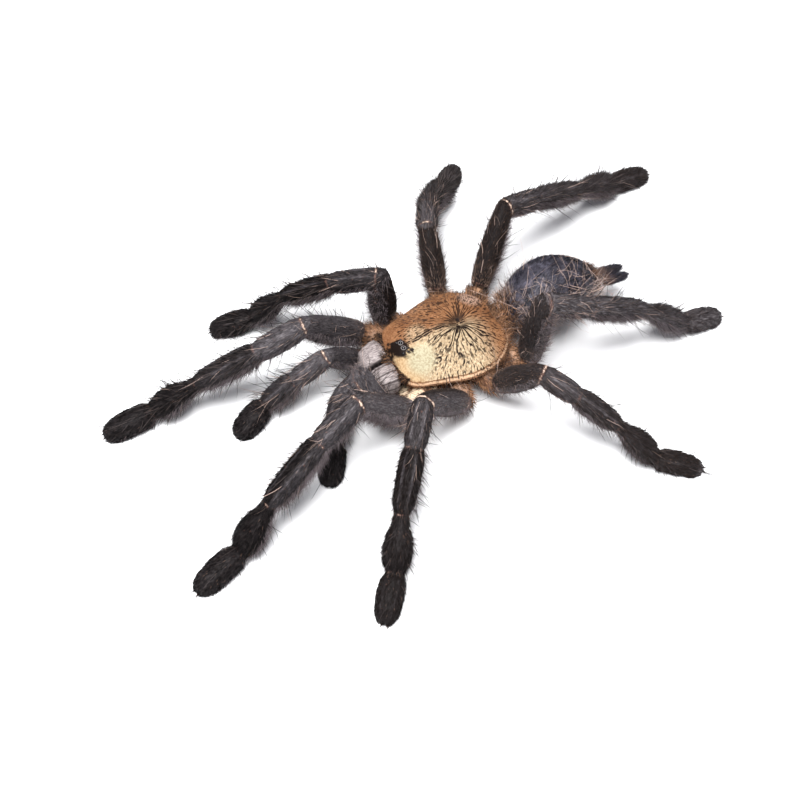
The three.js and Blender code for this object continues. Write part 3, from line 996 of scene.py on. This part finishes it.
abdomenLow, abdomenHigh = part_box("abdomen")
abdomenHair = {
    "pile": {"count": 24000, "length": (0.4, 0.85), "width": 0.085,
             "lean": (0, 1, -0.15), "lift": 24, "spread": 0.16},
    "fuzz": {"count": 4200, "length": (1.3, 2.8), "width": 0.06,
             "lean": (0, 0.8, 0.2), "lift": 40, "spread": 0.35, "bend": 0.2,
             "waist": 7, "tanReach": (3.5, 5)},
    "curls": {"count": 680, "length": (2.6, 6.2), "width": 0.065,
              "lean": (0, 0.2, 0), "lift": 14, "spread": 0.9, "curl": 1.3, "cling": 0.35},
}


def growAbdomenPile(spec):
    roots, normals = scatter(belly, spec["count"])
    patch = clumps(roots[:, 0] / (0.8 * mm) + np.sin(roots[:, 1] / mm), roots[:, 1] / (0.9 * mm))
    hair = laid(spec, roots, normals)
    # greyer where the pile faces up, a painted highlight, and in random patches
    grey = np.clip(np.clip(normals[:, 2], 0, 1) * 0.45 + (patch[:, 0] - 0.4) * 0.8, 0, 1)
    tone = np.clip(patch[:, 1] * 0.5 + dice.random(len(roots)) * 0.5, 0, 1)
    growHairs("abdomenPile", [lock(*hair, tone=tone, grey=grey)], abdomenFur, "velvet")


def growAbdomenFuzz(spec):
    roots, normals = scatter(belly, spec["count"])
    flank = (normals[:, 2] < 0.55) | (roots[:, 1] < abdomenLow.y + spec["waist"] * mm)
    roots, normals = pick(flank, roots, normals)
    hair = laid(spec, roots, normals)
    start, reach = spec["tanReach"]
    front = np.clip(1 - (roots[:, 1] - abdomenLow.y - start * mm) / (reach * mm), 0, 1)
    tan = np.clip(front + 0.12, 0, 1) * dice.uniform(0.1, 1, len(roots))
    growHairs("abdomenFuzz", [lock(*hair, grey=0.7, tan=tan)], bristleHair, "velvet", steps=2)


def growAbdomenCurls(spec):
    roots, normals = scatter(belly, spec["count"])
    # most of them on the rear of the own left side
    rearward = (roots[:, 1] - abdomenLow.y) / (abdomenHigh.y - abdomenLow.y)
    liking = 0.2 + 0.6 * np.clip(normals[:, 0], -0.5, 1) + 0.45 * rearward
    roots, normals = pick(dice.random(len(roots)) < liking, roots, normals)
    count = len(roots)
    *hair, _ = laid(spec, roots, normals)
    curl = dice.normal(0, spec["curl"], (count, 1))
    bend = unit(np.cross(hair[1], normals)) * curl - normals * spec["cling"]
    tone, tan = dice.uniform(0.5, 0.9, count), dice.uniform(0.7, 1, count)
    growHairs("abdomenCurls", [lock(*hair, bend, tone, 0.2, tan)], bristleHair, "velvet", steps=8)


growAbdomenPile(abdomenHair["pile"])
growAbdomenFuzz(abdomenHair["fuzz"])
growAbdomenCurls(abdomenHair["curls"])

coxaHair = {"count": 12500, "length": (0.7, 2.3), "width": 0.115, "lift": 32, "spread": 0.26, "stripes": 22}


def growCoxaHair(spec):
    # hair in tan and dark stripes that run out towards each leg
    roots, normals = scatter(underside, spec["count"])
    roots, normals = pick(dice.random(len(roots)) > bareness(roots) * 1.4, roots, normals)
    outward = outwardFrom(roots)
    patch = clumps(np.arctan2(outward[:, 0], outward[:, 1]) * spec["stripes"], roots[:, 2] / (1.1 * mm))
    hair = laid(spec, roots, normals, outward)
    tan = np.clip(patch[:, 0] * 1.5 - 0.1, 0, 1) * dice.uniform(0.5, 1, len(roots))
    tan = np.where(roots[:, 2] < shieldLow.z - 3.5 * mm, tan * 0.3, tan)
    # darker towards the rear on the own right side
    tan = tan * (1 - 0.5 * np.clip(unit(outward) @ np.array([-0.6, 0.8, 0]) * 1.6 - 0.3, 0, 1))
    growHairs("coxaHair", [lock(*hair, grey=0.3, tan=tan)], bodyFur, "underside")


growCoxaHair(coxaHair)

waistTuft = {
    "ruff": {"count": 5600, "length": (1.6, 4.2), "width": 0.115,
             "lean": (0, 0, 1), "lift": 58, "spread": 0.4, "bend": 0.18,
             "halfTurn": 78, "inset": (0.5, 0.7), "height": (-3.4, 0.6)},
    "front": {"tries": 26000, "count": 1900, "length": (1.4, 3.4), "width": 0.115, "lean": (0, 0.6, 0.5),
              "lift": 42, "spread": 0.35, "bend": 0.2, "reach": (3, 6.5)},
}


def ruffLock(spec):
    count = spec["count"]
    turn = dice.uniform(-1, 1, count)
    angle = turn * math.radians(spec["halfTurn"])
    across, back = np.sin(angle), np.cos(angle)
    reachX = (shieldHigh.x - shieldLow.x) / 2 - spec["inset"][0] * mm
    reachY = (shieldHigh.y - shieldMid.y) - spec["inset"][1] * mm
    roots = np.stack([shieldMid.x + across * reachX, shieldMid.y + back * reachY,
                      shieldLow.z + dice.uniform(*spec["height"], count) * mm], 1)
    normals = unit(np.stack([across, back, np.zeros(count)], 1))
    roots, ways, length, width, bend = laid(spec, roots, normals)
    length = length * (1 - 0.45 * np.abs(turn))
    patch = clumps(angle * 14, roots[:, 2] / (1.2 * mm))
    tan = np.clip(patch[:, 0] * 1.5 - 0.46 + dice.normal(0, 0.15, count), 0, 1)
    return lock(roots, ways, length, width, bend, grey=0.3 * patch[:, 1], tan=tan)


def growWaistTuft():
    # thick brown ruff where the abdomen joins, and along the rear edge of the shield
    locks = [ruffLock(waistTuft["ruff"])]
    spec = waistTuft["front"]
    roots, normals = scatter(belly, spec["tries"])
    front = roots[:, 1] < abdomenLow.y + dice.uniform(*spec["reach"], len(roots)) * mm
    roots, normals = (rows[:spec["count"]] for rows in pick(front, roots, normals))
    locks.append(lock(*laid(spec, roots, normals), grey=0.25, tan=dice.random(len(roots)) ** 2))
    growHairs("waistTuft", locks, bodyFur, "underside", steps=2)


growWaistTuft()

shieldHair = {
    "rim": {"tries": 60000, "count": 1500, "below": 0.8, "length": (0.35, 0.95), "width": 0.06, "lift": 12,
            "spread": 0.3},
    "front": {"count": 4200, "halfSpan": 5.9, "depth": (-0.9, 0.25), "curve": 1.1, "height": (0.9, 1.9),
              "length": (0.6, 1.5), "width": 0.08, "spread": 0.25},
}


def growShieldHair():
    spec = shieldHair["rim"]
    roots, normals = scatter(shieldPiece, spec["tries"])
    low = (roots[:, 2] < shieldLow.z + spec["below"] * mm) & (normals[:, 2] > -0.2)
    roots, normals = pick(low, roots, normals)
    roots, normals = pick(dice.permutation(len(roots))[:spec["count"]], roots, normals)
    hair = laid(spec, roots, normals, outwardFrom(roots))
    locks = [lock(*hair, grey=0.4, tan=dice.uniform(0.55, 1, len(roots)))]
    spec = shieldHair["front"]
    count = spec["count"]
    span = dice.uniform(-1, 1, count)
    depth = dice.uniform(*spec["depth"], count) * mm + np.abs(span) ** 3 * spec["curve"] * mm
    roots = np.stack([shieldMid.x + span * spec["halfSpan"] * mm, shieldLow.y + depth,
                      shieldLow.z + dice.uniform(*spec["height"], count) * mm], 1)
    ways = np.stack([span * 0.3, np.full(count, -0.7), np.full(count, 0.45)], 1)
    ways = unit(ways + dice.normal(0, spec["spread"], (count, 3)))
    length = lengths(spec, count)
    tan = (dice.random(count) < 0.2) * 0.6
    locks.append(lock(roots, ways, length, spec["width"] * mm, grey=0.1, tan=tan))
    growHairs("shieldHair", locks, bodyFur, "shield")


growShieldHair()

jawHair = {"count": 950, "cleft": 0.75, "length": (0.35, 0.9), "width": 0.045,
           "lean": (0, -1, -0.1), "lift": 14, "spread": 0.10}


def growJawHair(spec):
    locks = []
    for jaw in jaws:
        roots, normals = scatter(jaw, spec["count"])
        roots, normals = pick(np.abs(roots[:, 0] - shieldMid.x) > spec["cleft"] * mm, roots, normals)
        roots, ways, length, width, _ = laid(spec, roots, normals)
        below = np.clip(-normals[:, 2], 0, 1)
        length = length * (1 + below * 1.4)
        locks.append(lock(roots, ways, length, width, grey=0.6 - below * 0.3, tan=below * 0.6))
    growHairs("jawHair", locks, jawFur, "jaw")


growJawHair(jawHair)

spinnerHair = {
    "each": {"count": 1300, "length": (0.6, 1.3), "width": 0.07,
             "lean": (0, 1, -0.15), "lift": 24, "spread": 0.22, "base": 2.0},
    "tail": {"tries": 30000, "count": 900, "length": (1.2, 2.8), "width": 0.07,
             "lean": (0, 1, -0.1), "lift": 30, "spread": 0.3, "reach": 2.1},
}


def growSpinnerHair():
    spec = spinnerHair["each"]
    locks = []
    for spinner in spinnerets:
        roots, normals = scatter(spinner, spec["count"])
        hair = laid(spec, roots, normals)
        base = np.clip(1.1 - (roots[:, 1] - roots[:, 1].min()) / (spec["base"] * mm), 0, 1)
        locks.append(lock(*hair, grey=0.35, tan=base * dice.uniform(0, 0.7, len(roots))))
    spec = spinnerHair["tail"]
    roots, normals = scatter(belly, spec["tries"])
    rear = roots[:, 1] > abdomenHigh.y - spec["reach"] * mm
    roots, normals = (rows[:spec["count"]] for rows in pick(rear, roots, normals))
    hair = laid(spec, roots, normals)
    locks.append(lock(*hair, grey=0.2, tan=dice.uniform(0.2, 0.9, len(roots))))
    growHairs("spinnerHair", locks, abdomenFur, "fur")


growSpinnerHair()
print("hair ready")


# eyes and claws

eyes = {
    # across, forward of the mound's middle, radius in mm
    "places": [(0.62, 0.1, 0.37), (1.35, 0.55, 0.26), (1.45, -0.35, 0.24), (0.9, -0.55, 0.18)],
    "rim": 0.055 * mm,
    "rimmed": 0.3,  # only eyes larger than this have a rim
}
eyeGlass = skinMaterial("eyeGlass", (0.004, 0.004, 0.005), (0.02, 0.016, 0.018), 900.0, rough=0.07, depth=0.0)
eyeRim = skinMaterial("eyeRim", (0.27, 0.24, 0.235), (0.06, 0.052, 0.055), 1600.0, rough=0.4)


def surfaceHeight(piece, x, y):
    hit, where, _, _ = piece.ray_cast(Vector((x, y, 0.1)), Vector((0, 0, -1)))
    return where.z if hit else shieldHigh.z


def buildEyes():
    made, rims = [], []
    for across, ahead, radius in eyes["places"]:
        for side in (1, -1):
            x = shield["mound"][0] + side * across * mm
            y = shield["mound"][1] - ahead * mm
            z = surfaceHeight(shieldPiece, x, y) + radius * 0.25 * mm
            bpy.ops.mesh.primitive_uv_sphere_add(segments=24, ring_count=16, radius=radius * mm,
                                                 location=(x, y, z))
            made.append(bpy.context.active_object)
            if radius > eyes["rimmed"]:
                bpy.ops.mesh.primitive_torus_add(major_radius=radius * 1.2 * mm, minor_radius=eyes["rim"],
                                                 major_segments=24, minor_segments=10,
                                                 location=(x, y, z + 0.1 * mm))
                rims.append(bpy.context.active_object)
    for pieces, name, material in ((made, "eyes", eyeGlass), (rims, "eyeRims", eyeRim)):
        piece = joinPieces(pieces, name)
        smoothShade(piece)
        dress(piece, material, "horn")


buildEyes()

claws = {"length": 0.95 * mm, "radius": 0.15 * mm, "tip": 0.02 * mm, "spread": 0.45 * mm, "lift": 0.45 * mm}


def buildClaws():
    made = []
    for toe in (limbs[limb]["tarsus"] for limb in limbNames if limb.startswith("leg")):
        for side in (-1, 1):
            start = toe.end + toe.across * side * claws["spread"] + toe.top * claws["lift"]
            bpy.ops.mesh.primitive_cone_add(vertices=10, radius1=claws["radius"], radius2=claws["tip"],
                                            depth=claws["length"])
            claw = bpy.context.active_object
            way = Vector(unit(toe.axis + toe.across * side * 0.35 - np.array([0, 0, 0.25])))
            turn = way.to_track_quat("Z", "Y").to_matrix().to_4x4()
            claw.matrix_world = Matrix.Translation(Vector(start) + way * claws["length"] / 2) @ turn
            made.append(claw)
    piece = joinPieces(made, "claws")
    smoothShade(piece)
    dress(piece, hornBlack, "horn")


buildClaws()
print("eyes and claws ready")


# floor, light and camera

studio = {
    "floor": (0.93, 0.93, 0.95),
    "floorBright": (0.95, 0.95, 0.95),
    "floorSize": 3.0,
    "floorDrop": 0.02 * mm,
    "skyColour": (0.87, 0.87, 1.0),
    "sky": 0.15,
    "wall": (0.97, 0.97, 0.98),
}
lamps = {
    "key": {"power": 15.2, "size": 0.36, "at": (0.145, -0.145, 0.72)},
    "fill": {"power": 0.6, "size": 0.6, "at": (0.6, -0.35, 0.45)},
}
cameraView = {"round": 63.0, "above": 56.5, "distance": 0.245, "lens": 57.2,
              "lookAt": (2.4 * mm, -10.55 * mm)}  # from the shield's middle


def buildFloor():
    bpy.ops.mesh.primitive_plane_add(size=studio["floorSize"], location=(0, 0, -studio["floorDrop"]))
    floor = bpy.context.active_object
    floor.name = "floor"
    material, tree, surface = newMaterial("paper")
    tone = ramp(noise(objectPlace(tree), 30.0), -2.0, 3.0)
    paint(surface, mix(tone, studio["floor"], studio["floorBright"]), 0.9)
    floor.data.materials.append(material)


def buildWorld():
    world = bpy.data.worlds.new("studio")
    bpy.context.scene.world = world
    world.use_nodes = True
    tree = world.node_tree
    glow = tree.nodes["Background"]
    feed(glow.inputs[0], studio["skyColour"])
    feed(glow.inputs[1], studio["sky"])
    wall = newNode(tree, "Background", studio["wall"])  # what the camera sees behind the floor
    ray = newNode(tree, "LightPath")
    seen = newNode(tree, "MixShader", outOf(ray, "Is Camera Ray"), outOf(glow), outOf(wall))
    feed(tree.nodes["World Output"].inputs[0], outOf(seen))


def buildLamps():
    for name, spec in lamps.items():
        bpy.ops.object.light_add(type="AREA", location=spec["at"])
        lamp = bpy.context.active_object
        lamp.name = name
        lamp.data.energy = spec["power"]
        lamp.data.size = spec["size"]
        lamp.rotation_euler = (-Vector(spec["at"])).to_track_quat("-Z", "Y").to_euler()


def buildCamera():
    a, e = math.radians(cameraView["round"]), math.radians(cameraView["above"])
    target = Vector((shieldMid.x + cameraView["lookAt"][0], shieldMid.y + cameraView["lookAt"][1], 0))
    back = Vector((math.sin(a) * math.cos(e), -math.cos(a) * math.cos(e), math.sin(e)))
    bpy.ops.object.camera_add(location=target + back * cameraView["distance"])
    camera = bpy.context.active_object
    camera.rotation_euler = (math.pi / 2 - e, 0, a)
    camera.data.lens = cameraView["lens"]
    camera.data.sensor_width = 36
    camera.data.clip_start = 5 * mm
    bpy.context.scene.camera = camera


buildFloor()
buildWorld()
buildLamps()
buildCamera()
bpy.context.scene.view_settings.view_transform = "Standard"
print("studio ready")
